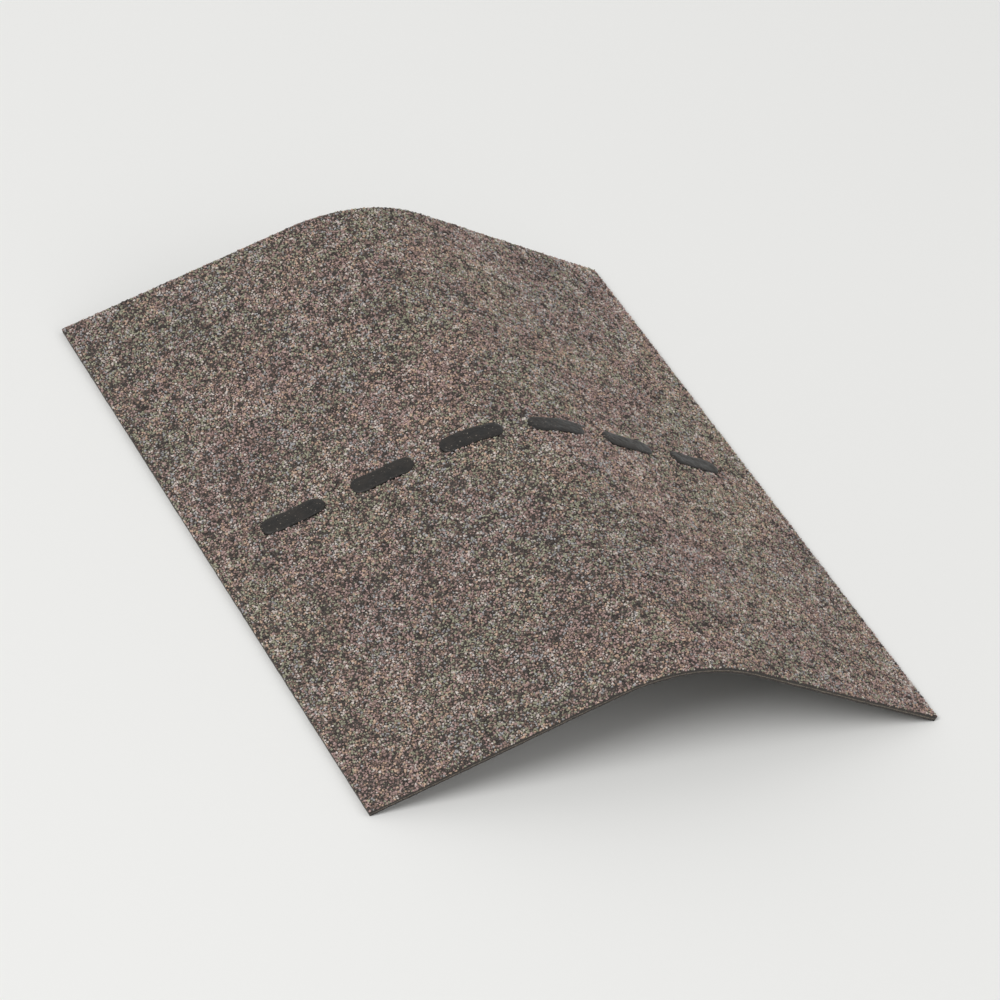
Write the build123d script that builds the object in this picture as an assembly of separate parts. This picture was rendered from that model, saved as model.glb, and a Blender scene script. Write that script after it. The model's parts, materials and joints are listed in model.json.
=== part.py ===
"""One ridge cap shingle, bent to a round crown and standing on its two long side edges.

Millimetres. The origin is on the floor under the middle of the cap. +Y runs along the crown,
from the butt edge, which shows once the cap is laid, to the head, which is then covered. +X
runs across to the right wing and +Z is up.
"""

import os
from math import acos, atan, cos, sin

from build123d import *

# the cut sheet, measured flat
sheet_width = 305.0  # from side edge to side edge, along the middle of the thickness
sheet_length = 337.0  # from the butt edge to the head
sheet_thickness = 3.2  # asphalt coated mat with its granules

# the bend
roof_rise = 8.0  # pitch of the two slopes that the wings lie on
roof_run = 12.0
crown_radius = 89.0  # of the top face

# the cap as it is laid
exposure = 156.0  # length that stays in view

# the self-seal strip, a row of asphalt dashes across the top face
seal_setback = 8.0  # from the part in view to the strip
seal_width = 11.0  # of a dash, along the crown
seal_height = 0.9
dash_length = 32.0  # along the bend, over its round ends
dash_gap = 12.0
dash_shoulder_radius = 0.7  # the soft edge round the top of a dash
side_margin = 14.0  # least width left bare beside the row

# the bend that the pitch gives, and the width of the arc and of one straight wing
roof_slope = atan(roof_rise / roof_run)
wing_angle = acos(cos(roof_slope) ** 2) / 2
middle_radius = crown_radius - sheet_thickness / 2
arc_half_width = middle_radius * wing_angle
wing_drop = (sheet_width / 2 - arc_half_width) * sin(wing_angle)
# height of the bend's centre, which sets the lowest edges of the sheet on the floor
bend_centre_z = wing_drop - (crown_radius - sheet_thickness) * cos(wing_angle)


def turn_at(across):
    """Slope of the sheet at a distance across from the crown line, in radians."""
    return max(-wing_angle, min(wing_angle, across / middle_radius))


def bent_point(across, lift):
    """Place in the XZ section of a point on the flat sheet: its distance across from the
    crown line, and its lift above the underside."""
    radius = crown_radius - sheet_thickness + lift
    turn = turn_at(across)
    straight = across - turn * middle_radius
    x = radius * sin(turn) + straight * cos(turn)
    z = radius * cos(turn) - straight * sin(turn)
    return x, bend_centre_z + z


def bent_line(start, end, lift):
    """Edges that follow the bend from start to end, straight on the wings and round over the
    crown."""
    breaks = [a for a in (-arc_half_width, arc_half_width) if start < a < end]
    stops = [start, *breaks, end]
    edges = []
    for first, last in zip(stops, stops[1:]):
        middle = (first + last) / 2
        ends = bent_point(first, lift), bent_point(last, lift)
        if abs(middle) < arc_half_width:
            edges.append(ThreePointArc(ends[0], bent_point(middle, lift), ends[1]))
        else:
            edges.append(Line(*ends))
    return edges


def shingle_sheet():
    """The granule covered sheet, one even thickness from side edge to side edge."""
    half = sheet_width / 2
    top = bent_line(-half, half, sheet_thickness)
    underside = bent_line(-half, half, 0)
    sides = [Line(bent_point(a, 0), bent_point(a, sheet_thickness)) for a in (-half, half)]
    section = make_face(Plane.XZ * Curve(children=top + underside + sides))
    return extrude(section, sheet_length / 2, both=True)


def dash_half_section():
    """Half of a dash's cross section, from its middle out to one side. It reaches down into the
    sheet, which cuts it off later."""
    size = seal_width / 2, seal_height + sheet_thickness / 2
    half = Pos(0, -sheet_thickness / 2) * Rectangle(*size, align=(Align.MIN, Align.MIN))
    shoulder = half.vertices().sort_by(lambda v: v.X + v.Y)[-1]
    return fillet(shoulder, min(dash_shoulder_radius, seal_height * 0.9))


def across_plane(across):
    """Plane that cuts the bend squarely, with its own y up out of the top face."""
    turn = turn_at(across)
    x, z = bent_point(across, sheet_thickness)
    return Plane((x, 0, z), x_dir=(0, 1, 0), z_dir=(cos(turn), 0, -sin(turn)))


def dash_end(across, way):
    """Half round end of a dash, turned about the normal of the top face."""
    plane = across_plane(across)
    axis = Axis(plane.origin, plane.y_dir * -way)
    return revolve(plane * dash_half_section(), axis, 180)


def seal_dash(middle):
    """One dash with half round ends, run along the bend and seated on the sheet."""
    reach = (dash_length - seal_width) / 2
    half = dash_half_section()
    section = half + mirror(half, Plane.YZ)
    line = Plane.XZ * Curve(children=bent_line(middle - reach, middle + reach, sheet_thickness))
    run = sweep(across_plane(middle - reach) * section, Wire(line.edges()))
    return run + dash_end(middle - reach, -1) + dash_end(middle + reach, 1)


def seal_strip(sheet):
    """The whole row of dashes, as many as fit between the side margins."""
    pitch = dash_length + dash_gap
    count = int((sheet_width - 2 * side_margin + dash_gap) // pitch)
    middles = [(i - (count - 1) / 2) * pitch for i in range(count)]
    y = -sheet_length / 2 + exposure + seal_setback + seal_width / 2
    dashes = [Pos(0, y, 0) * seal_dash(middle) - sheet for middle in middles]
    return Compound(children=dashes)


os.makedirs("parts", exist_ok=True)
sheet = shingle_sheet()
export_step(sheet, "parts/shingle_sheet.step")
export_step(seal_strip(sheet), "parts/seal_strip.step")
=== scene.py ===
import json
import math
import random

import bmesh
import bpy
from mathutils import Matrix, Vector

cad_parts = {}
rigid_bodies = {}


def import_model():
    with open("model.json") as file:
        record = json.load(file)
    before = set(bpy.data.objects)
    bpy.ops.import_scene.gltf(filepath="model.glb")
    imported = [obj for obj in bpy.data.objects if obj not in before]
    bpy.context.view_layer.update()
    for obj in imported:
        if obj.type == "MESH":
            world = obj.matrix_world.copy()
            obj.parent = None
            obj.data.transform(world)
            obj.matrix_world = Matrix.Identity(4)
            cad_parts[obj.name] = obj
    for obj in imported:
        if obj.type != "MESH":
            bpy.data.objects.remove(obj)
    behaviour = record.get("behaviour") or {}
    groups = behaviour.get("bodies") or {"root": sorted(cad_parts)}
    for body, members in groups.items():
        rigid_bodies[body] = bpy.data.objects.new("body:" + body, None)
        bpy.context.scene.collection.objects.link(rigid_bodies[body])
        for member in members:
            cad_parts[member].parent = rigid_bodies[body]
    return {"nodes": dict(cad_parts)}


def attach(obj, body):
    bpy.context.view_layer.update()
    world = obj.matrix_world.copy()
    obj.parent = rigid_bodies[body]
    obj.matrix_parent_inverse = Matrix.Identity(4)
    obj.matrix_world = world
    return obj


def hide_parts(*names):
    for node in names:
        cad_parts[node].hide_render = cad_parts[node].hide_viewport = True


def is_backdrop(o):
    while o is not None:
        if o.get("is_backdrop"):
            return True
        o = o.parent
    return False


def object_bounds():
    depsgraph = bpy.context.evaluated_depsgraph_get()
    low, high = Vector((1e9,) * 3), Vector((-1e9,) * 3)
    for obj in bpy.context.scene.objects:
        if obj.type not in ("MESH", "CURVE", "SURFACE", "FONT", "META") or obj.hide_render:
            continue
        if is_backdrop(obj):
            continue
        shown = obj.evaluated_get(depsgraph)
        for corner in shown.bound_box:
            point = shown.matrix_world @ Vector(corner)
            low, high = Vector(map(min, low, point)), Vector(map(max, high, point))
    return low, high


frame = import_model()
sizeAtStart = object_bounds()
print("frame loaded:", list(frame["nodes"]))

# the cut sheet and its bend, in metres, as the CAD sheet has them
cap = {
    "width": 0.305,  # measured flat, along the middle of the thickness
    "length": 0.337,
    "thickness": 0.0032,
    "crownRadius": 0.089,  # of the top face
    "pitch": 8 / 12,  # rise by run of the two slopes that the wings lie on
    "exposure": 0.156,  # length that stays in view when it is laid
    "settling": 0.0003,  # deepest dip of the soft sheet
    "settlingWidth": 85,  # width of such a dip, in mm
}
wingAngle = math.acos(math.cos(math.atan(cap["pitch"])) ** 2) / 2
middleRadius = cap["crownRadius"] - cap["thickness"] / 2
innerRadius = cap["crownRadius"] - cap["thickness"]
wingDrop = (cap["width"] / 2 - middleRadius * wingAngle) * math.sin(wingAngle)
# inputs of the bend, the same for every piece
bend = {
    "Middle radius": middleRadius,
    "Inner radius": innerRadius,
    "Wing angle": wingAngle,
    "Centre height": wingDrop - innerRadius * math.cos(wingAngle),
    "Half width": cap["width"] / 2,
    "Settling": cap["settling"],
}


def linear(hexColour):
    # sRGB hex to the linear colour that Blender's sockets take
    channels = [int(hexColour[i:i + 2], 16) / 255 for i in (1, 3, 5)]
    return [c / 12.92 if c <= 0.04045 else ((c + 0.055) / 1.055) ** 2.4 for c in channels] + [1.0]


def perMm(size):
    # texture scale for a pattern whose marks are this many millimetres wide
    return 1000 / size


def feed(tree, socket, source):
    # links a socket to another socket or to a node's first output, or sets it to a plain value
    if isinstance(source, bpy.types.Node):
        source = next(output for output in source.outputs if output.enabled)
    if isinstance(source, bpy.types.NodeSocket):
        tree.links.new(source, socket)
    else:
        socket.default_value = source


def addNode(tree, kind, inputs=(), stops=(), **settings):
    # adds a node with its settings and feeds its inputs: a list goes by the order of the sockets
    # in use, a dictionary by their names. Stops are a colour ramp's (share, hex colour) pairs.
    node = tree.nodes.new(kind)
    for name, value in settings.items():
        setattr(node, name, value)
    for number, (share, colour) in enumerate(stops):
        elements = node.color_ramp.elements
        stop = elements[number] if number < len(elements) else elements.new(1.0)
        stop.position = share
        stop.color = linear(colour)
    sockets = [socket for socket in node.inputs if socket.enabled]
    if isinstance(inputs, dict):
        named = {socket.name: socket for socket in sockets}
        sockets = [named[name] for name in inputs]
        inputs = inputs.values()
    for socket, source in zip(sockets, inputs):
        feed(tree, socket, source)
    return node


def newMaterial(name):
    # a material, its node tree, and the place on the piece that its patterns follow
    material = bpy.data.materials.new(name)
    material.use_nodes = True
    tree = material.node_tree
    return material, tree, addNode(tree, "ShaderNodeTexCoord").outputs["Object"]


def finishSurface(tree, colour, roughness, relief, bump, specular=0.5):
    # gives a material's shader its patterns, where bump is the relief's strength and depth
    shader = tree.nodes["Principled BSDF"]
    strength, depth = bump
    normal = addNode(tree, "ShaderNodeBump", {"Strength": strength, "Distance": depth, "Height": relief})
    feed(tree, shader.inputs["Base Color"], colour)
    feed(tree, shader.inputs["Roughness"], roughness)
    feed(tree, shader.inputs["Normal"], normal)
    shader.inputs["Specular IOR Level"].default_value = specular


def addObject(name, data):
    # puts an object with this data into the scene
    added = bpy.data.objects.new(name, data)
    bpy.context.scene.collection.objects.link(added)
    return added


def newTree(name, sizes, others):
    # a geometry tree with named inputs: the sizes are floats, the others say their own kinds
    tree = bpy.data.node_groups.new(name, "GeometryNodeTree")
    kinds = {**dict.fromkeys(sizes, "Float"), **others}
    for label, kind in kinds.items():
        tree.interface.new_socket(label, in_out="INPUT", socket_type="NodeSocket" + kind)
    tree.interface.new_socket("Geometry", in_out="OUTPUT", socket_type="NodeSocketGeometry")
    return tree, addNode(tree, "NodeGroupInput").outputs


def runTree(name, tree, values):
    # runs the tree on an empty object and keeps the result as a plain mesh
    holder = addObject(name + "Holder", bpy.data.meshes.new(name + "Holder"))
    modifier = holder.modifiers.new("nodes", "NODES")
    modifier.node_group = tree
    for item in tree.interface.items_tree:
        if item.in_out == "INPUT":
            modifier[item.identifier] = values[item.name]
    holder.update_tag()
    evaluated = holder.evaluated_get(bpy.context.evaluated_depsgraph_get())
    mesh = bpy.data.meshes.new_from_object(evaluated)
    mesh.name = name
    holder.modifiers.remove(modifier)
    bpy.data.objects.remove(holder)
    piece = addObject(name, mesh)
    print(f"{name}: {sum(len(face.vertices) - 2 for face in mesh.polygons)} triangles")
    return piece


def settledLift(tree, given, flat):
    # a sheet that has lain in the sun sinks a little here and there, but not at the sides that it
    # rests on
    spot = addNode(tree, "ShaderNodeCombineXYZ", [flat["X"], flat["Y"]])
    sink = addNode(tree, "ShaderNodeTexNoise", {
        "Vector": spot, "Scale": perMm(cap["settlingWidth"]), "Detail": 2.0, "Roughness": 0.4})
    # noise lies mostly between 0.25 and 0.75, so here as elsewhere a map range spreads it out
    sink = addNode(tree, "ShaderNodeMapRange", {"Value": sink, "From Min": 0.25, "From Max": 0.75},
                   interpolation_type="SMOOTHSTEP")
    fromCrown = addNode(tree, "ShaderNodeMath", [flat["X"], given["Half width"]], operation="DIVIDE")
    fromCrown = addNode(tree, "ShaderNodeMath", [fromCrown, 4.0], operation="POWER")
    loose = addNode(tree, "ShaderNodeMath", [1.0, fromCrown], operation="SUBTRACT", use_clamp=True)
    sink = addNode(tree, "ShaderNodeMath", [sink, loose], operation="MULTIPLY")
    sink = addNode(tree, "ShaderNodeMath", [sink, given["Settling"]], operation="MULTIPLY")
    return addNode(tree, "ShaderNodeMath", [flat["Z"], sink], operation="SUBTRACT")


def bendOverCrown():
    # the bend, shared by every piece: a flat layout goes in, with x across, y along and z its lift
    # above the underside, and comes out straight on the wings and round over the crown
    tree, given = newTree("bendOverCrown", bend, {"Geometry": "Geometry"})
    flat = addNode(tree, "ShaderNodeSeparateXYZ", [addNode(tree, "GeometryNodeInputPosition")]).outputs
    lift = settledLift(tree, given, flat)
    share = addNode(tree, "ShaderNodeMath", [flat["X"], given["Middle radius"]], operation="DIVIDE")
    lowest = addNode(tree, "ShaderNodeMath", [given["Wing angle"], -1.0], operation="MULTIPLY")
    turn = addNode(tree, "ShaderNodeClamp", [share, lowest, given["Wing angle"]])
    arc = addNode(tree, "ShaderNodeMath", [turn, given["Middle radius"]], operation="MULTIPLY")
    straight = addNode(tree, "ShaderNodeMath", [flat["X"], arc], operation="SUBTRACT")
    radius = addNode(tree, "ShaderNodeMath", [lift, given["Inner radius"]], operation="ADD")
    sine = addNode(tree, "ShaderNodeMath", [turn], operation="SINE")
    cosine = addNode(tree, "ShaderNodeMath", [turn], operation="COSINE")
    wingX = addNode(tree, "ShaderNodeMath", [straight, cosine], operation="MULTIPLY")
    bentX = addNode(tree, "ShaderNodeMath", [radius, sine, wingX], operation="MULTIPLY_ADD")
    crownZ = addNode(tree, "ShaderNodeMath", [radius, cosine, given["Centre height"]],
                     operation="MULTIPLY_ADD")
    wingZ = addNode(tree, "ShaderNodeMath", [straight, sine], operation="MULTIPLY")
    bentZ = addNode(tree, "ShaderNodeMath", [crownZ, wingZ], operation="SUBTRACT")
    bent = addNode(tree, "ShaderNodeCombineXYZ", [bentX, flat["Y"], bentZ])
    moved = addNode(tree, "GeometryNodeSetPosition", {"Geometry": given["Geometry"], "Position": bent})
    addNode(tree, "NodeGroupOutput", [moved])
    return tree


bendTree = bendOverCrown()


def bendPiece(tree, given, flatPiece):
    # takes a flat piece through the bend
    inputs = {"Geometry": flatPiece, **{label: given[label] for label in bend}}
    return addNode(tree, "GeometryNodeGroup", inputs, node_tree=bendTree)


print("bend over the crown ready, wings fall by", round(math.degrees(wingAngle), 1), "degrees")

# granule covered asphalt: the coated mat that carries the granules
sheet = {
    "faceLift": 0.0027,  # the asphalt between the granules, above the underside
    "cutInset": 0.00002,  # what the sheet stays inside its CAD size at each side
    "cutRoughness": 0.00028,  # deepest notch of the cut edge
    "crumb": 2.6,  # width of such a notch, in mm
    "waviness": 0.00022,  # unevenness of the hot coating
    "wave": 14,  # width of its hollows, in mm
    "cell": 0.003,  # width of a mesh cell
    "sideReach": 0.00001,  # points nearer than this to a cut side are on it
    "layers": 5,  # rows of points from the underside to the face
    "lookLimit": 0.7,  # a part that looks further up or down than this is no cut edge
    "sharpFrom": 0.7,  # edges that turn by more radians than this stay sharp
    # Three finishes. Patterns are given by their width in mm, colours with their shares of a
    # ramp, and a bump by its strength and depth.
    "face": {
        "dust": 0.9,
        "dustRoughness": (0.5, 0.85),
        "asphalt": ((0.35, "#1b1816"), (0.68, "#443c36")),
        "fineChip": 0.75,  # the finest chips, between the granules
        "chipGap": (0.03, 0.13),  # from the middle of a gap to the chip, as shares of a chip
        "fineChips": ((0.0, "#252120"), (0.6, "#4d443e"), (1.0, "#796e65")),
        "bump": (0.7, 0.0002),
    },
    "cut": {
        "tear": 1.6,
        "tearRoughness": (0.4, 0.8),
        "asphalt": ((0.3, "#14110f"), (0.75, "#3a312b")),
        "matLift": 0.0011,  # of the glass mat, above the underside
        "matDrift": 0.0004,  # how far the torn mat strays up and down
        "matHalf": (0.00012, 0.00034),  # from its middle line to where it thins, and to its end
        "fibre": 0.5,  # glass fibres are far finer, and drawn this coarse to show
        "glass": "#8d8272",
        "bump": (0.8, 0.0002),
    },
    "back": {
        "sand": 0.75,  # sand grains are finer, and drawn this coarse to show
        "sandTones": ((0.0, "#4a4642"), (1.0, "#7d776e")),
        "sandRoughness": (0.55, 0.9),
        "asphalt": "#24211f",
        "patch": 28,  # areas with more or less sand
        "streak": 60,  # and streaks of it
        "streakSqueeze": (1.0, 9.0, 1.0),  # narrower along the cap than across it
        "cover": (0.3, 0.85),  # share of sand where it lies thinnest and thickest
        "bump": (0.5, 0.0002),
    },
}


def coatingAsphalt():
    # Coating asphalt, filled with limestone dust and oxidised: brown black and dull. The finest
    # chips of the blend are pressed into it between the granules, with dust in their gaps.
    material, tree, place = newMaterial("coatingAsphalt")
    finish = sheet["face"]
    dust = addNode(tree, "ShaderNodeTexNoise", {
        "Vector": place, "Scale": perMm(finish["dust"]), "Detail": 4.0, "Roughness": 0.6})
    tone = addNode(tree, "ShaderNodeValToRGB", [dust], finish["asphalt"])
    chipPlace = {"Vector": place, "Scale": perMm(finish["fineChip"])}
    finest = addNode(tree, "ShaderNodeTexVoronoi", chipPlace).outputs["Color"]
    pick = addNode(tree, "ShaderNodeSeparateColor", [finest]).outputs["Red"]
    chipTone = addNode(tree, "ShaderNodeValToRGB", [pick], finish["fineChips"])
    border = addNode(tree, "ShaderNodeTexVoronoi", chipPlace, feature="DISTANCE_TO_EDGE")
    gap, chipSide = finish["chipGap"]
    inChip = addNode(tree, "ShaderNodeMapRange", {"Value": border, "From Min": gap, "From Max": chipSide})
    colour = addNode(tree, "ShaderNodeMix", [inChip, tone, chipTone], data_type="RGBA")
    smooth, rough = finish["dustRoughness"]
    roughness = addNode(tree, "ShaderNodeMapRange", {
        "Value": dust, "From Min": 0.3, "From Max": 0.7, "To Min": smooth, "To Max": rough})
    # each chip stands out of its gaps, some more than others
    relief = addNode(tree, "ShaderNodeMath", [inChip, pick, inChip], operation="MULTIPLY_ADD")
    finishSurface(tree, colour, roughness, relief, finish["bump"])
    return material


def shearedAsphaltAndMat():
    # Sheared edge of the sheet: asphalt above and below a pale line of glass fibre mat, torn a
    # little rough by the knife.
    material, tree, place = newMaterial("shearedAsphaltAndMat")
    finish = sheet["cut"]
    flatPlace = addNode(tree, "ShaderNodeAttribute", attribute_name="flatPlace").outputs["Vector"]
    lift = addNode(tree, "ShaderNodeSeparateXYZ", [flatPlace]).outputs["Z"]
    tear = addNode(tree, "ShaderNodeTexNoise", {
        "Vector": place, "Scale": perMm(finish["tear"]), "Detail": 4.0})
    drift = addNode(tree, "ShaderNodeMapRange", {
        "Value": tear, "To Min": -finish["matDrift"], "To Max": finish["matDrift"]})
    fromMat = addNode(tree, "ShaderNodeMath", [lift, -finish["matLift"]], operation="ADD")
    fromMat = addNode(tree, "ShaderNodeMath", [fromMat, drift], operation="ADD")
    fromMat = addNode(tree, "ShaderNodeMath", [fromMat], operation="ABSOLUTE")
    thins, ends = finish["matHalf"]
    inMat = addNode(tree, "ShaderNodeMapRange", {
        "Value": fromMat, "From Min": thins, "From Max": ends, "To Min": 1.0, "To Max": 0.0})
    fibres = addNode(tree, "ShaderNodeTexNoise", {
        "Vector": place, "Scale": perMm(finish["fibre"]), "Detail": 5.0, "Roughness": 0.7})
    fibreShare = addNode(tree, "ShaderNodeMapRange", {"Value": fibres, "From Min": 0.4, "From Max": 0.62})
    inMat = addNode(tree, "ShaderNodeMath", [inMat, fibreShare], operation="MULTIPLY")
    tone = addNode(tree, "ShaderNodeValToRGB", [tear], finish["asphalt"])
    colour = addNode(tree, "ShaderNodeMix", [inMat, tone, linear(finish["glass"])], data_type="RGBA")
    smooth, rough = finish["tearRoughness"]
    roughness = addNode(tree, "ShaderNodeMapRange", {"Value": tear, "To Min": smooth, "To Max": rough})
    finishSurface(tree, colour, roughness, fibres, finish["bump"])
    return material


def sandDustedAsphalt():
    # Underside: asphalt dusted with fine sand so that shingles don't stick in the pack, rolled
    # smooth while hot. Grey and dull, with dark patches where the sand is thin.
    material, tree, place = newMaterial("sandDustedAsphalt")
    finish = sheet["back"]
    sand = addNode(tree, "ShaderNodeTexVoronoi", {"Vector": place, "Scale": perMm(finish["sand"])})
    pick = addNode(tree, "ShaderNodeSeparateColor", [sand.outputs["Color"]]).outputs
    patches = addNode(tree, "ShaderNodeTexNoise", {
        "Vector": place, "Scale": perMm(finish["patch"]), "Detail": 5.0, "Roughness": 0.65})
    squeezed = addNode(tree, "ShaderNodeMapping", {"Vector": place, "Scale": finish["streakSqueeze"]})
    streaks = addNode(tree, "ShaderNodeTexNoise", {
        "Vector": squeezed, "Scale": perMm(finish["streak"]), "Detail": 4.0})
    cover = addNode(tree, "ShaderNodeMath", [patches, streaks], operation="ADD")
    thin, thick = finish["cover"]
    cover = addNode(tree, "ShaderNodeMapRange", {
        "Value": cover, "From Min": 0.8, "From Max": 1.2, "To Min": thin, "To Max": thick})
    isSand = addNode(tree, "ShaderNodeMath", [pick["Red"], cover], operation="LESS_THAN")
    sandTone = addNode(tree, "ShaderNodeValToRGB", [pick["Green"]], finish["sandTones"])
    colour = addNode(tree, "ShaderNodeMix", [isSand, linear(finish["asphalt"]), sandTone],
                     data_type="RGBA")
    smooth, rough = finish["sandRoughness"]
    roughness = addNode(tree, "ShaderNodeMapRange", {"Value": isSand, "To Min": smooth, "To Max": rough})
    grains = addNode(tree, "ShaderNodeMath", [sand, -1.0], operation="MULTIPLY")
    finishSurface(tree, colour, roughness, grains, finish["bump"])
    return material


def flatBlock(tree, given):
    # the sheet before its bend. It keeps its flat places and which way each face looks, for the
    # materials.
    size = addNode(tree, "ShaderNodeCombineXYZ", [given["Width"], given["Length"], given["Face lift"]])
    columns = addNode(tree, "ShaderNodeMath", [given["Width"], given["Cell"]], operation="DIVIDE")
    rows = addNode(tree, "ShaderNodeMath", [given["Length"], given["Cell"]], operation="DIVIDE")
    block = addNode(tree, "GeometryNodeMeshCube", [size, columns, rows, sheet["layers"]])
    halfLift = addNode(tree, "ShaderNodeMath", [given["Face lift"], 0.5], operation="MULTIPLY")
    rise = addNode(tree, "ShaderNodeCombineXYZ", {"Z": halfLift})
    block = addNode(tree, "GeometryNodeTransform", {"Geometry": block, "Translation": rise})
    position = addNode(tree, "GeometryNodeInputPosition")
    block = addNode(tree, "GeometryNodeStoreNamedAttribute", {
        "Geometry": block, "Name": "flatPlace", "Value": position}, data_type="FLOAT_VECTOR")
    facing = addNode(tree, "ShaderNodeSeparateXYZ", [addNode(tree, "GeometryNodeInputNormal")])
    return addNode(tree, "GeometryNodeStoreNamedAttribute", {
        "Geometry": block, "Name": "facing", "Value": facing.outputs["Z"]}, domain="FACE")


def cutNotch(tree, place, extent, depth):
    # moves the points of two opposite cut sides inwards, along one axis
    half = addNode(tree, "ShaderNodeMath", [extent, 0.5, -sheet["sideReach"]], operation="MULTIPLY_ADD")
    away = addNode(tree, "ShaderNodeMath", [place], operation="ABSOLUTE")
    onSide = addNode(tree, "ShaderNodeMath", [away, half], operation="GREATER_THAN")
    side = addNode(tree, "ShaderNodeMath", [place], operation="SIGN")
    pull = addNode(tree, "ShaderNodeMath", [onSide, depth], operation="MULTIPLY")
    offset = addNode(tree, "ShaderNodeMath", [pull, side], operation="MULTIPLY")
    return addNode(tree, "ShaderNodeMath", [offset, -1.0], operation="MULTIPLY")


def unevenness(tree, given):
    # the knife leaves a slightly wavy, crumbled side, and hot coating leaves soft hollows
    position = addNode(tree, "GeometryNodeInputPosition")
    there = addNode(tree, "ShaderNodeSeparateXYZ", [position]).outputs
    crumble = addNode(tree, "ShaderNodeTexNoise", {
        "Vector": position, "Scale": perMm(sheet["crumb"]), "Detail": 3.0, "Roughness": 0.7})
    crumble = addNode(tree, "ShaderNodeMapRange", {"Value": crumble, "From Min": 0.4, "From Max": 0.8})
    depth = addNode(tree, "ShaderNodeMath", [crumble, given["Cut roughness"]], operation="MULTIPLY")
    offsetX = cutNotch(tree, there["X"], given["Width"], depth)
    offsetY = cutNotch(tree, there["Y"], given["Length"], depth)
    hollows = addNode(tree, "ShaderNodeTexNoise", {
        "Vector": position, "Scale": perMm(sheet["wave"]), "Detail": 2.0})
    hollows = addNode(tree, "ShaderNodeMapRange", {"Value": hollows, "From Min": 0.35, "From Max": 0.7})
    hollows = addNode(tree, "ShaderNodeMath", [hollows, given["Waviness"]], operation="MULTIPLY")
    level = addNode(tree, "ShaderNodeMath", [there["Z"], given["Face lift"]], operation="DIVIDE")
    inwards = addNode(tree, "ShaderNodeMapRange", {"Value": level, "To Min": 1.0, "To Max": -1.0})
    offsetZ = addNode(tree, "ShaderNodeMath", [hollows, inwards], operation="MULTIPLY")
    return addNode(tree, "ShaderNodeCombineXYZ", [offsetX, offsetY, offsetZ])


def coatedSheetTree():
    tree, given = newTree("coatedSheet", [
        "Width", "Length", "Face lift", "Cut roughness", "Waviness", "Cell", *bend], {})
    block = flatBlock(tree, given)
    shaped = addNode(tree, "GeometryNodeSetPosition", {"Geometry": block, "Offset": unevenness(tree, given)})
    bent = bendPiece(tree, given, shaped)
    angle = addNode(tree, "GeometryNodeInputMeshEdgeAngle")
    isSharp = addNode(tree, "FunctionNodeCompare", [angle, sheet["sharpFrom"]], operation="GREATER_THAN")
    result = addNode(tree, "GeometryNodeSetShadeSmooth", {"Geometry": bent, "Shade Smooth": True})
    result = addNode(tree, "GeometryNodeSetShadeSmooth", {
        "Geometry": result, "Selection": isSharp, "Shade Smooth": False}, domain="EDGE")
    result = addNode(tree, "GeometryNodeRealizeInstances", [result])
    look = addNode(tree, "GeometryNodeInputNamedAttribute", {"Name": "facing"})
    isFace = addNode(tree, "FunctionNodeCompare", [look, sheet["lookLimit"]], operation="GREATER_THAN")
    isBack = addNode(tree, "FunctionNodeCompare", [look, -sheet["lookLimit"]], operation="LESS_THAN")
    for where, material in ((True, shearedAsphaltAndMat()), (isFace, coatingAsphalt()),
                            (isBack, sandDustedAsphalt())):
        result = addNode(tree, "GeometryNodeSetMaterial", [result, where, material])
    addNode(tree, "NodeGroupOutput", [result])
    return tree


coatedSheet = runTree("coated_sheet", coatedSheetTree(), {
    "Width": cap["width"] - 2 * sheet["cutInset"],
    "Length": cap["length"] - 2 * sheet["cutInset"],
    "Face lift": sheet["faceLift"],
    "Cut roughness": sheet["cutRoughness"],
    "Waviness": sheet["waviness"],
    "Cell": sheet["cell"],
    **bend,
})
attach(coatedSheet, "root")


# mineral granules: crushed rock with a fired ceramic colour coat, pressed into the asphalt
granule = {
    "shapes": 10,
    "shapeSeed": 400,
    "corners": 7,  # points that a chip's hull is drawn round
    "spacing": 0.000785,  # least distance between two granules
    "tries": 4.0e6,  # places tried for them in a square metre
    "across": (0.00102, 0.0019),  # least and greatest width of one
    "narrowness": (0.78, 1.0),  # its other width, as a share of that
    "flatness": (0.62, 0.9),  # and its height
    "rise": (-0.00028, 0.00012),  # a granule's middle, from the face of the asphalt
    "lean": 0.5,  # most tilt either way, in radians
    "turn": 6.283,  # and most turn, all the way round
    "cutInset": 0.00005,  # what the cut granules stay inside the sheet's sides
    "pressInset": 0.00002,  # and the pressed ones below its top
    "blotch": 42,  # width in mm of the soft lighter and darker areas
    "clump": 6.5,  # and of the clumps of granules of like tone
    "hueBlotch": 52,  # and of the areas that lean to one colour or another
    "blotchShift": 0.28,  # most that an area moves a granule's lot in the blend
    "clumpShift": 0.27,
    "drift": 0.16,  # how far mauve brown and olive grey trade places over the hue areas
    "warmth": 0.085,  # and slate and tan
    "seed": 11,
    "coat": {
        "grit": 0.4,  # the grit is finer, and drawn this coarse to show
        "stain": 0.16,  # how far it moves a granule's own tone
        "roughness": (0.6, 0.9),
        "bump": (0.35, 0.00008),
        "specular": 0.28,
    },
}
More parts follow.
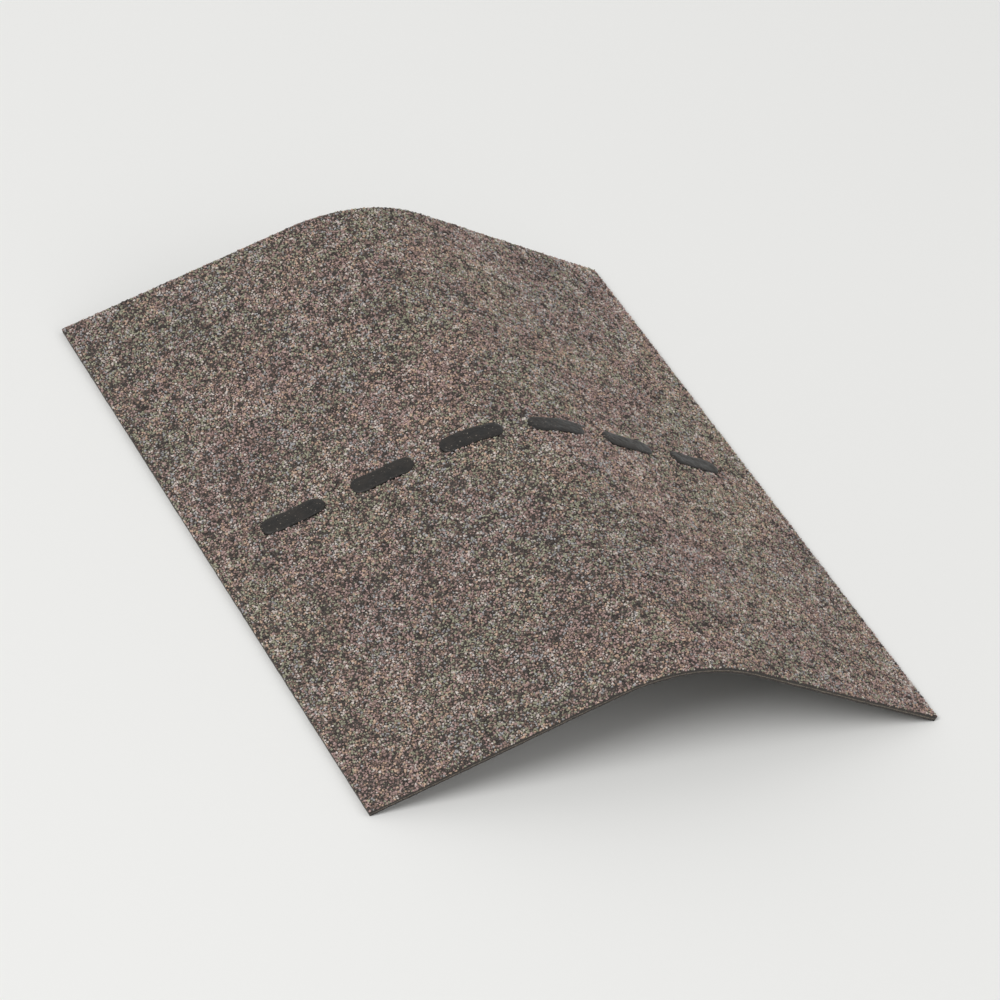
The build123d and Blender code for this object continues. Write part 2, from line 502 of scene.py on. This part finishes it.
# colours of the blend, dark to light: name, share of all granules, darkest, usual, lightest
blend = [
    ("charcoal", 0.11, "#393331", "#4a4340", "#57504d"),
    ("umber", 0.15, "#68564f", "#7c675f", "#8b776d"),
    ("dusk_brown", 0.12, "#826f68", "#958179", "#a38f87"),
    ("mauve_brown", 0.17, "#957c77", "#a68c87", "#b39a95"),
    ("olive_grey", 0.20, "#848370", "#969480", "#a4a28e"),
    ("slate", 0.09, "#888687", "#9b9999", "#aaa8a8"),
    ("tan", 0.11, "#aa917f", "#b99e8a", "#c5ab97"),
    ("pale_stone", 0.05, "#b5aaa2", "#c6bbb3", "#d3c9c2"),
]
# which end of a colour's share moves with the hue areas
trades = {
    "mauve_brown": {"To drift": granule["drift"]},
    "olive_grey": {"From drift": granule["drift"]},
    "slate": {"To warmth": granule["warmth"]},
    "tan": {"From warmth": granule["warmth"]},
}


def chip(number):
    # one crushed rock chip, the hull of a few points thrown on a rough ball one unit wide
    throw = random.Random(granule["shapeSeed"] + number)
    shape = bmesh.new()
    corners = granule["corners"]
    for corner in range(corners):
        up = 1 - 2 * (corner + 0.5) / corners + throw.uniform(-0.1, 0.1)  # from top to bottom
        turn = corner * 2.4 + throw.uniform(-0.35, 0.35)  # steps of 2.4 radians spread evenly
        out = math.sqrt(max(0.05, 1 - up * up))
        reach = throw.uniform(0.42, 0.54)  # about half a unit from the middle
        shape.verts.new(Vector((out * math.cos(turn), out * math.sin(turn), up)) * reach)
    hull = bmesh.ops.convex_hull(shape, input=shape.verts)
    inside = [part for part in hull["geom_interior"] if isinstance(part, bmesh.types.BMVert)]
    bmesh.ops.delete(shape, geom=inside, context="VERTS")
    bmesh.ops.recalc_face_normals(shape, faces=shape.faces)
    mesh = bpy.data.meshes.new(f"chip{number}")
    shape.to_mesh(mesh)
    shape.free()
    return bpy.data.objects.new(f"chip{number}", mesh)


def ceramicCoat(name, dark, usual, light):
    # Fired ceramic coat on crushed rock: matt and opaque, one colour to a granule, with faint
    # lighter and darker stains and a fine gritty relief.
    material, tree, place = newMaterial("ceramicCoat_" + name)
    finish = granule["coat"]
    own = addNode(tree, "ShaderNodeAttribute", attribute_name="granuleTone").outputs["Fac"]
    grit = addNode(tree, "ShaderNodeTexNoise", {
        "Vector": place, "Scale": perMm(finish["grit"]), "Detail": 3.0, "Roughness": 0.6})
    stain = addNode(tree, "ShaderNodeMapRange", {
        "Value": grit, "From Min": 0.3, "From Max": 0.7,
        "To Min": -finish["stain"], "To Max": finish["stain"]})
    shade = addNode(tree, "ShaderNodeMath", [own, stain], operation="ADD")
    colour = addNode(tree, "ShaderNodeValToRGB", [shade], ((0.0, dark), (0.5, usual), (1.0, light)))
    smooth, rough = finish["roughness"]
    roughness = addNode(tree, "ShaderNodeMapRange", {
        "Value": grit, "From Min": 0.3, "From Max": 0.7, "To Min": smooth, "To Max": rough})
    finishSurface(tree, colour, roughness, grit, finish["bump"], finish["specular"])
    return material


def lotInBlend(tree, given, position):
    # a granule's lot, from 0 for the darkest of the blend to 1 for the lightest. It runs lighter
    # or darker over soft areas and in small clumps.
    lot = addNode(tree, "FunctionNodeRandomValue", {"Seed": 3})
    area = addNode(tree, "ShaderNodeTexNoise", {
        "Vector": position, "Scale": given["Blotch scale"], "Detail": 5.0, "Roughness": 0.8})
    area = addNode(tree, "ShaderNodeMapRange", {
        "Value": area, "From Min": 0.25, "From Max": 0.75,
        "To Min": -granule["blotchShift"], "To Max": granule["blotchShift"]})
    lot = addNode(tree, "ShaderNodeMath", [lot, area], operation="ADD")
    clump = addNode(tree, "ShaderNodeTexNoise", {
        "Vector": position, "Scale": given["Clump scale"], "Detail": 1.0})
    clump = addNode(tree, "ShaderNodeMapRange", {
        "Value": clump, "From Min": 0.3, "From Max": 0.7,
        "To Min": -granule["clumpShift"], "To Max": granule["clumpShift"]})
    lot = addNode(tree, "ShaderNodeMath", [lot, clump], operation="ADD")
    return addNode(tree, "ShaderNodeClamp", [lot, 0.0001, 0.9999])  # so that none is left out


def isOfThisColour(tree, given):
    # picks the granules whose lot lies between the colour's two ends, which drift from one hue
    # area to another
    position = addNode(tree, "GeometryNodeInputPosition")
    lot = lotInBlend(tree, given, position)
    areas = []
    for shift in ((0.7, 0.3, 0.1), (0.2, 0.9, 0.5)):  # so that the two hue patterns are unlike
        elsewhere = addNode(tree, "ShaderNodeVectorMath", [position, shift], operation="ADD")
        area = addNode(tree, "ShaderNodeTexNoise", {
            "Vector": elsewhere, "Scale": given["Hue scale"], "Detail": 5.0, "Roughness": 0.72})
        areas.append(addNode(tree, "ShaderNodeMapRange", {
            "Value": area, "From Min": 0.41, "From Max": 0.59, "To Min": -1.0, "To Max": 1.0}))
    ends = []
    for label in ("From", "To"):
        end = addNode(tree, "ShaderNodeMath", [areas[0], given[label + " drift"], given[label]],
                      operation="MULTIPLY_ADD")
        ends.append(addNode(tree, "ShaderNodeMath", [areas[1], given[label + " warmth"], end],
                            operation="MULTIPLY_ADD"))
    above = addNode(tree, "FunctionNodeCompare", [lot, ends[0]], operation="GREATER_THAN")
    below = addNode(tree, "FunctionNodeCompare", [lot, ends[1]], operation="LESS_EQUAL")
    return addNode(tree, "FunctionNodeBooleanMath", [above, below], operation="AND")


def granuleSize(tree, given):
    # width, other width and height of each granule
    across = addNode(tree, "FunctionNodeRandomValue", {
        "Min": given["Least across"], "Max": given["Most across"], "Seed": 5})
    flatness = addNode(tree, "FunctionNodeRandomValue", {
        "Min": given["Least flatness"], "Max": given["Most flatness"], "Seed": 6})
    tall = addNode(tree, "ShaderNodeMath", [across, flatness], operation="MULTIPLY")
    least, most = granule["narrowness"]
    narrow = addNode(tree, "FunctionNodeRandomValue", {"Min": least, "Max": most, "Seed": 8})
    narrow = addNode(tree, "ShaderNodeMath", [across, narrow], operation="MULTIPLY")
    return addNode(tree, "ShaderNodeCombineXYZ", [across, narrow, tall])


def scatteredChips(tree, given):
    # granules of one colour over the flat face, each with its own tone, shape, size, tilt and seat
    face = addNode(tree, "GeometryNodeMeshGrid", [given["Width"], given["Length"], 2, 2])
    points = addNode(tree, "GeometryNodeDistributePointsOnFaces", {
        "Mesh": face, "Distance Min": given["Spacing"], "Density Max": granule["tries"],
        "Density Factor": 1.0, "Seed": given["Seed"]}, distribute_method="POISSON")
    tone = addNode(tree, "FunctionNodeRandomValue", {"Seed": 9})
    points = addNode(tree, "GeometryNodeStoreNamedAttribute", {
        "Geometry": points, "Name": "granuleTone", "Value": tone})
    lean = granule["lean"]
    tilt = addNode(tree, "FunctionNodeRandomValue", {
        "Min": (-lean, -lean, 0.0), "Max": (lean, lean, granule["turn"]), "Seed": 7},
        data_type="FLOAT_VECTOR")
    shape = addNode(tree, "FunctionNodeRandomValue", {
        "Min": 0, "Max": granule["shapes"] - 1, "Seed": 10}, data_type="INT")
    models = addNode(tree, "GeometryNodeCollectionInfo", {
        "Collection": given["Chips"], "Separate Children": True, "Reset Children": True})
    coat = addNode(tree, "GeometryNodeInstanceOnPoints", {
        "Points": points, "Selection": isOfThisColour(tree, given), "Instance": models,
        "Pick Instance": True, "Instance Index": shape, "Rotation": tilt,
        "Scale": granuleSize(tree, given)})
    seat = addNode(tree, "FunctionNodeRandomValue", {
        "Min": given["Least rise"], "Max": given["Most rise"], "Seed": 12})
    height = addNode(tree, "ShaderNodeMath", [given["Face lift"], seat], operation="ADD")
    rise = addNode(tree, "ShaderNodeCombineXYZ", {"Z": height})
    coat = addNode(tree, "GeometryNodeTranslateInstances", {
        "Instances": coat, "Translation": rise, "Local Space": False})
    return addNode(tree, "GeometryNodeRealizeInstances", [coat])


def pressedAndTrimmed(tree, given, coat):
    # the press rolls the tops level, and the knife cuts granules off flush with the sheet's sides
    there = addNode(tree, "ShaderNodeSeparateXYZ", [addNode(tree, "GeometryNodeInputPosition")]).outputs
    place = []
    for axis, extent in (("X", given["Width"]), ("Y", given["Length"])):
        half = addNode(tree, "ShaderNodeMath", [extent, 0.5], operation="MULTIPLY")
        otherHalf = addNode(tree, "ShaderNodeMath", [extent, -0.5], operation="MULTIPLY")
        place.append(addNode(tree, "ShaderNodeClamp", [there[axis], otherHalf, half]))
    place.append(addNode(tree, "ShaderNodeMath", [there["Z"], given["Thickness"]], operation="MINIMUM"))
    trimmed = addNode(tree, "ShaderNodeCombineXYZ", place)
    return addNode(tree, "GeometryNodeSetPosition", {"Geometry": coat, "Position": trimmed})


def granuleCoatTree():
    tree, given = newTree("granuleCoat", [
        "Width", "Length", "Thickness", "Face lift", "Spacing", "Least across", "Most across",
        "Least flatness", "Most flatness", "Least rise", "Most rise", "Blotch scale", "Clump scale",
        "Hue scale", "From", "To", "From drift", "To drift", "From warmth", "To warmth", *bend,
    ], {"Seed": "Int", "Chips": "Collection", "Coat": "Material"})
    coat = pressedAndTrimmed(tree, given, scatteredChips(tree, given))
    coat = bendPiece(tree, given, coat)
    coat = addNode(tree, "GeometryNodeSetShadeSmooth", {"Geometry": coat, "Shade Smooth": False})
    coat = addNode(tree, "GeometryNodeSetMaterial", {"Geometry": coat, "Material": given["Coat"]})
    addNode(tree, "NodeGroupOutput", [coat])
    return tree


chips = bpy.data.collections.new("chips")
bpy.context.scene.collection.children.link(chips)
for number in range(granule["shapes"]):
    chips.objects.link(chip(number))

granuleTree = granuleCoatTree()
granuleValues = {
    "Width": cap["width"] - 2 * granule["cutInset"],
    "Length": cap["length"] - 2 * granule["cutInset"],
    "Thickness": cap["thickness"] - granule["pressInset"],
    "Face lift": sheet["faceLift"],
    "Spacing": granule["spacing"],
    "Blotch scale": perMm(granule["blotch"]),
    "Clump scale": perMm(granule["clump"]),
    "Hue scale": perMm(granule["hueBlotch"]),
    "Seed": granule["seed"],
    "Chips": chips,
    **dict.fromkeys(("From drift", "To drift", "From warmth", "To warmth"), 0.0),
    **bend,
}
for label in ("across", "flatness", "rise"):
    granuleValues["Least " + label], granuleValues["Most " + label] = granule[label]

reached = 0.0
for name, portion, *tones in blend:
    start, reached = reached, reached + portion
    piece = runTree("granules_" + name, granuleTree, {
        **granuleValues,
        **trades.get(name, {}),
        "From": start,
        "To": reached,
        "Coat": ceramicCoat(name, *tones),
    })
    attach(piece, "root")
for model in list(chips.objects):
    bpy.data.objects.remove(model)
bpy.data.collections.remove(chips)
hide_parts("shingle_sheet")
print("granules pressed in, colours:", len(blend))


# self-seal strip: a row of soft asphalt dashes laid hot on the granules
seal = {
    "setback": 0.008,  # from the part that stays in view
    "width": 0.011,
    "height": 0.0009,
    "dash": 0.032,
    "gap": 0.012,
    "count": 6,
    "slimming": 0.0012,  # what a dash is smaller than its CAD size, for its outline to wander
    "bury": 0.0001,  # how far its foot reaches into the coating
    "cells": (52, 22, 7),  # points of its mesh, along, across and up
    "endFullness": 0.985,  # how far the half round ends close
    "weld": 0.00002,  # points nearer than this are one
    # wandering outline: width in mm of its waves, and how far they go across and along
    "wander": ((8, (0.0012, 0.0015, 0.0)), (1.7, (0.0006, 0.0006, 0.0))),
    # uneven back: width of its lumps in mm, and how deep the hollows go, as a share of the height
    "lumps": ((9, 0.25), (1.6, 0.18)),
    "finish": {
        "film": 7,
        "asphalt": ((0.4, "#0d0b0a"), (0.75, "#2c2723")),
        "roughness": (0.36, 0.66),
        "fine": 0.7,  # width of the patches of mineral fines
        "fineEdge": (0.35, 0.0007),  # how wide in mm and how far in metres their outlines stray
        "fineDrift": 5,  # the areas where more or fewer of them lie
        "fineShare": (0.02, 0.3),  # fewest and most of them
        "fineReach": (0.12, 0.48),  # least and greatest reach, as a share of the pattern's cell
        "fineCover": 0.75,
        "fines": ("#4d4640", "#8f867b"),
        "fineLift": 0.35,  # how far they stand out, beside the wrinkles
        "wrinkle": 2.2,
        "bump": (0.4, 0.0003),
        "specular": 0.4,
    },
}


def fallenFines(tree, place):
    # mineral fines that fell on the asphalt while it was soft, denser where dust lay thicker:
    # where they are, and their colour
    finish = seal["finish"]
    strayWidth, stray = finish["fineEdge"]
    ragged = addNode(tree, "ShaderNodeTexNoise", {
        "Vector": place, "Scale": perMm(strayWidth), "Detail": 2.0}).outputs["Color"]
    ragged = addNode(tree, "ShaderNodeVectorMath", [ragged, (stray, stray, stray), place],
                     operation="MULTIPLY_ADD")
    fines = addNode(tree, "ShaderNodeTexVoronoi", {"Vector": ragged, "Scale": perMm(finish["fine"])})
    pick = addNode(tree, "ShaderNodeSeparateColor", [fines.outputs["Color"]]).outputs
    drifted = addNode(tree, "ShaderNodeTexNoise", {
        "Vector": place, "Scale": perMm(finish["fineDrift"]), "Detail": 3.0})
    fewest, most = finish["fineShare"]
    drifted = addNode(tree, "ShaderNodeMapRange", {
        "Value": drifted, "From Min": 0.4, "From Max": 0.7, "To Min": fewest, "To Max": most})
    isFine = addNode(tree, "ShaderNodeMath", [pick["Red"], drifted], operation="LESS_THAN")
    least, greatest = finish["fineReach"]
    reach = addNode(tree, "ShaderNodeMapRange", {
        "Value": pick["Blue"], "To Min": least, "To Max": greatest})
    inReach = addNode(tree, "ShaderNodeMath", [fines, reach], operation="LESS_THAN")
    isFine = addNode(tree, "ShaderNodeMath", [isFine, inReach], operation="MULTIPLY")
    isFine = addNode(tree, "ShaderNodeMath", [isFine, finish["fineCover"]], operation="MULTIPLY")
    dark, light = (linear(colour) for colour in finish["fines"])
    fineTone = addNode(tree, "ShaderNodeMix", [pick["Green"], dark, light], data_type="RGBA")
    return isFine, fineTone


def selfSealAsphalt():
    # Self-seal asphalt, soft and sticky: deep black, with a soft gloss where it is bare, mineral
    # fines stuck to it, and small wrinkles from cooling.
    material, tree, place = newMaterial("selfSealAsphalt")
    finish = seal["finish"]
    film = addNode(tree, "ShaderNodeTexNoise", {
        "Vector": place, "Scale": perMm(finish["film"]), "Detail": 5.0, "Roughness": 0.7})
    tone = addNode(tree, "ShaderNodeValToRGB", [film], finish["asphalt"])
    isFine, fineTone = fallenFines(tree, place)
    colour = addNode(tree, "ShaderNodeMix", [isFine, tone, fineTone], data_type="RGBA")
    smooth, rough = finish["roughness"]
    roughness = addNode(tree, "ShaderNodeMapRange", {
        "Value": film, "From Min": 0.35, "From Max": 0.7, "To Min": smooth, "To Max": rough})
    roughness = addNode(tree, "ShaderNodeMath", [roughness, isFine], operation="MAXIMUM")
    wrinkles = addNode(tree, "ShaderNodeTexNoise", {
        "Vector": place, "Scale": perMm(finish["wrinkle"]), "Detail": 3.0, "Distortion": 0.6})
    relief = addNode(tree, "ShaderNodeMath", [isFine, finish["fineLift"], wrinkles],
                     operation="MULTIPLY_ADD")
    finishSurface(tree, colour, roughness, relief, finish["bump"], finish["specular"])
    return material


def beadOutline(tree, given):
    # a block of even cells is drawn out into a long bead with half round ends. Gives each point's
    # place across and along the cap, how far it lies from the middle, squared and as a share of the
    # half width, and its height as a share of the block's.
    block = addNode(tree, "GeometryNodeMeshCube", [(2.0, 2.0, 2.0), *seal["cells"]])
    corner = addNode(tree, "ShaderNodeSeparateXYZ", [addNode(tree, "GeometryNodeInputPosition")]).outputs
    halfDash = addNode(tree, "ShaderNodeMath", [given["Dash"], 0.5], operation="MULTIPLY")
    halfWidth = addNode(tree, "ShaderNodeMath", [given["Width"], 0.5], operation="MULTIPLY")
    straightPart = addNode(tree, "ShaderNodeMath", [halfDash, halfWidth], operation="SUBTRACT")
    across = addNode(tree, "ShaderNodeMath", [corner["X"], halfDash], operation="MULTIPLY")
    # a row of cells in a half round end reaches as far to the side as the end allows there
    beyond = addNode(tree, "ShaderNodeMath", [across], operation="ABSOLUTE")
    beyond = addNode(tree, "ShaderNodeMath", [beyond, straightPart], operation="SUBTRACT")
    beyond = addNode(tree, "ShaderNodeMath", [beyond, 0.0], operation="MAXIMUM")
    beyond = addNode(tree, "ShaderNodeMath", [beyond, halfWidth], operation="DIVIDE")
    beyond = addNode(tree, "ShaderNodeMath", [beyond, seal["endFullness"]], operation="MULTIPLY")
    beyond = addNode(tree, "ShaderNodeMath", [beyond, beyond], operation="MULTIPLY")
    reach = addNode(tree, "ShaderNodeMath", [1.0, beyond], operation="SUBTRACT")
    reach = addNode(tree, "ShaderNodeMath", [reach], operation="SQRT")
    along = addNode(tree, "ShaderNodeMath", [corner["Y"], halfWidth], operation="MULTIPLY")
    along = addNode(tree, "ShaderNodeMath", [along, reach], operation="MULTIPLY")
    rim = addNode(tree, "ShaderNodeMath", [along, halfWidth], operation="DIVIDE")
    rim = addNode(tree, "ShaderNodeMath", [rim, 2.0], operation="POWER")
    rim = addNode(tree, "ShaderNodeMath", [rim, beyond], operation="ADD")
    level = addNode(tree, "ShaderNodeMapRange", {"Value": corner["Z"], "From Min": -1.0, "From Max": 1.0})
    return block, across, along, rim, level


def sealBead(tree, given):
    # one dash, flat below and round over the top: its height falls off towards the rim
    block, across, along, rim, level = beadOutline(tree, given)
    rim = addNode(tree, "ShaderNodeMath", [rim, 1.0], operation="MINIMUM")
    rim = addNode(tree, "ShaderNodeMath", [rim, 3.0], operation="POWER")
    dome = addNode(tree, "ShaderNodeMath", [1.0, rim], operation="SUBTRACT")
    dome = addNode(tree, "ShaderNodeMath", [dome], operation="SQRT")
    tall = addNode(tree, "ShaderNodeMath", [given["Top"], given["Foot"]], operation="SUBTRACT")
    level = addNode(tree, "ShaderNodeMath", [level, dome], operation="MULTIPLY")
    lift = addNode(tree, "ShaderNodeMath", [level, tall, given["Foot"]], operation="MULTIPLY_ADD")
    place = addNode(tree, "ShaderNodeCombineXYZ", [across, along, lift])
    return addNode(tree, "GeometryNodeSetPosition", {"Geometry": block, "Position": place})


def dashRow(tree, given, bead):
    # as many dashes as the cap has, in one row across it
    first = addNode(tree, "ShaderNodeMath", [given["Count"], -0.5, 0.5], operation="MULTIPLY_ADD")
    first = addNode(tree, "ShaderNodeMath", [first, given["Pitch"]], operation="MULTIPLY")
    start = addNode(tree, "ShaderNodeCombineXYZ", [first, given["Along"]])
    step = addNode(tree, "ShaderNodeCombineXYZ", [given["Pitch"]])
    line = addNode(tree, "GeometryNodeMeshLine", [given["Count"], start, step])
    row = addNode(tree, "GeometryNodeInstanceOnPoints", {"Points": line, "Instance": bead})
    return addNode(tree, "GeometryNodeRealizeInstances", [row])


def setUneven(tree, given, row):
    # hot asphalt sets with a wandering outline that runs in between the granules, and with an
    # uneven back, where the granules under it show through as low lumps
    spot = addNode(tree, "GeometryNodeInputPosition")
    for width, amount in seal["wander"]:
        wander = addNode(tree, "ShaderNodeTexNoise", {
            "Vector": spot, "Scale": perMm(width), "Detail": 2.0}).outputs["Color"]
        wander = addNode(tree, "ShaderNodeVectorMath", [wander, (0.5, 0.5, 0.5)], operation="SUBTRACT")
        wander = addNode(tree, "ShaderNodeVectorMath", [wander, amount], operation="MULTIPLY")
        row = addNode(tree, "GeometryNodeSetPosition", {"Geometry": row, "Offset": wander})
    lift = addNode(tree, "ShaderNodeSeparateXYZ", [spot]).outputs["Z"]
    heap = addNode(tree, "ShaderNodeMath", [lift, given["Foot"]], operation="SUBTRACT")
    for width, share in seal["lumps"]:
        hollow = addNode(tree, "ShaderNodeTexNoise", {
            "Vector": spot, "Scale": perMm(width), "Detail": 1.0})
        hollow = addNode(tree, "ShaderNodeMapRange", {
            "Value": hollow, "From Min": 0.3, "From Max": 0.7, "To Max": -share})
        dip = addNode(tree, "ShaderNodeMath", [heap, hollow], operation="MULTIPLY")
        offset = addNode(tree, "ShaderNodeCombineXYZ", {"Z": dip})
        row = addNode(tree, "GeometryNodeSetPosition", {"Geometry": row, "Offset": offset})
    return addNode(tree, "GeometryNodeMergeByDistance", {"Geometry": row, "Distance": seal["weld"]})


def sealRowTree():
    tree, given = newTree("sealRow", ["Dash", "Width", "Pitch", "Along", "Foot", "Top", *bend],
                          {"Count": "Int", "Asphalt": "Material"})
    row = setUneven(tree, given, dashRow(tree, given, sealBead(tree, given)))
    row = bendPiece(tree, given, row)
    row = addNode(tree, "GeometryNodeSetShadeSmooth", {"Geometry": row, "Shade Smooth": True})
    row = addNode(tree, "GeometryNodeSetMaterial", {"Geometry": row, "Material": given["Asphalt"]})
    addNode(tree, "NodeGroupOutput", [row])
    return tree


sealRow = runTree("seal_row", sealRowTree(), {
    "Dash": seal["dash"] - seal["slimming"],
    "Width": seal["width"] - seal["slimming"],
    "Pitch": seal["dash"] + seal["gap"],
    "Count": seal["count"],
    "Along": -cap["length"] / 2 + cap["exposure"] + seal["setback"] + seal["width"] / 2,
    "Foot": sheet["faceLift"] - seal["bury"],
    "Top": cap["thickness"] + seal["height"],
    "Asphalt": selfSealAsphalt(),
    **bend,
})
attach(sealRow, "root")
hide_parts("seal_strip")


# floor, sky and lamps
studio = {
    "floorReach": 20,  # half the side of the floor, in metres
    "paint": "#f2f2f0",
    "paintRoughness": 0.9,
    "backdrop": "#ededeb",  # the even tone that the far floor and the sky show
    "fade": (0.7, 2.6),  # where the floor starts and ends turning to that tone
    "skyLight": 0.53,
    # lamps: place and width in metres, and watts
    "keyLamp": ((-5.1, -1.9, 5.2), 3.6, 312),
    "fillLamp": ((5.8, -4.3, 4.7), 5.0, 44),
    "lampAim": (0, 0, 0.03),
}


def seenDirectly(tree):
    # 1 for rays that show the background itself: to the camera, in a gloss or through glass
    path = addNode(tree, "ShaderNodeLightPath").outputs
    seen = addNode(tree, "ShaderNodeMath", [path["Is Camera Ray"], path["Is Glossy Ray"]],
                   operation="MAXIMUM")
    return addNode(tree, "ShaderNodeMath", [seen, path["Is Transmission Ray"]], operation="MAXIMUM")


def matteWhitePaint():
    # Matte white paint, plain and pale. Far out it turns to the backdrop's tone, so that no
    # horizon shows from a low angle, and it gives no light there.
    material, tree, place = newMaterial("matteWhitePaint")
    material.cycles.emission_sampling = "NONE"
    shader = tree.nodes["Principled BSDF"]
    shader.inputs["Base Color"].default_value = linear(studio["paint"])
    shader.inputs["Roughness"].default_value = studio["paintRoughness"]
    away = addNode(tree, "ShaderNodeVectorMath", [place], operation="LENGTH")
    near, far = studio["fade"]
    fade = addNode(tree, "ShaderNodeMapRange", {"Value": away, "From Min": near, "From Max": far},
                   interpolation_type="SMOOTHSTEP")
    share = addNode(tree, "ShaderNodeMath", [fade, seenDirectly(tree)], operation="MULTIPLY")
    even = addNode(tree, "ShaderNodeEmission", {"Color": linear(studio["backdrop"])})
    mixed = addNode(tree, "ShaderNodeMixShader", [share, shader, even])
    feed(tree, tree.nodes["Material Output"].inputs["Surface"], mixed)
    return material


def laidFloor():
    reach = studio["floorReach"]
    corners = [(-reach, -reach, 0), (reach, -reach, 0), (reach, reach, 0), (-reach, reach, 0)]
    mesh = bpy.data.meshes.new("floor")
    mesh.from_pydata(corners, [], [(0, 1, 2, 3)])
    mesh.materials.append(matteWhitePaint())
    return addObject("floor", mesh)


def plainSky():
    # even white light from all sides, which looks like the backdrop where it shows itself
    world = bpy.data.worlds.new("studio")
    world.use_nodes = True
    tree = world.node_tree
    sky = tree.nodes["Background"]
    sky.inputs["Color"].default_value = (1, 1, 1, 1)
    sky.inputs["Strength"].default_value = studio["skyLight"]
    even = addNode(tree, "ShaderNodeBackground", {"Color": linear(studio["backdrop"])})
    mixed = addNode(tree, "ShaderNodeMixShader", [seenDirectly(tree), sky, even])
    feed(tree, tree.nodes["World Output"].inputs["Surface"], mixed)
    return world


def softLamp(name):
    place, width, watts = studio[name]
    lamp = bpy.data.lights.new(name, "AREA")
    lamp.shape = "DISK"
    lamp.size = width
    lamp.energy = watts
    holder = addObject(name, lamp)
    holder.location = place
    holder.rotation_euler = (Vector(studio["lampAim"]) - Vector(place)).to_track_quat("-Z", "Y").to_euler()


floor = laidFloor()
floor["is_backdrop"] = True
bpy.context.scene.world = plainSky()
softLamp("keyLamp")
softLamp("fillLamp")
print("floor, sky and lamps placed")

# the photograph's viewing angle on a cap, with its roll
view = {
    "eye": (-0.475, -0.651, 0.592),  # way from the aim to the camera
    "up": (0.163, 0.679, 0.715),
    "distance": 2.15,
    "aim": (-0.001, -0.004, 0.017),
    "lens": 172,
    "clipStart": 0.05,
}
back = Vector(view["eye"]).normalized()
right = Vector(view["up"]).cross(back).normalized()
turned = Matrix((right, back.cross(right), back)).transposed().to_4x4()
camera = addObject("camera", bpy.data.cameras.new("camera"))
camera.data.lens = view["lens"]
camera.data.clip_start = view["clipStart"]
camera.matrix_world = Matrix.Translation(Vector(view["aim"]) + back * view["distance"]) @ turned
bpy.context.scene.camera = camera
bpy.context.scene.view_settings.view_transform = "Standard"
print("camera placed at the photograph's angle")

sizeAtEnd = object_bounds()
for moment, corners in (("before", sizeAtStart), ("after", sizeAtEnd)):
    print("size", moment, [[round(v, 5) for v in corner] for corner in corners])
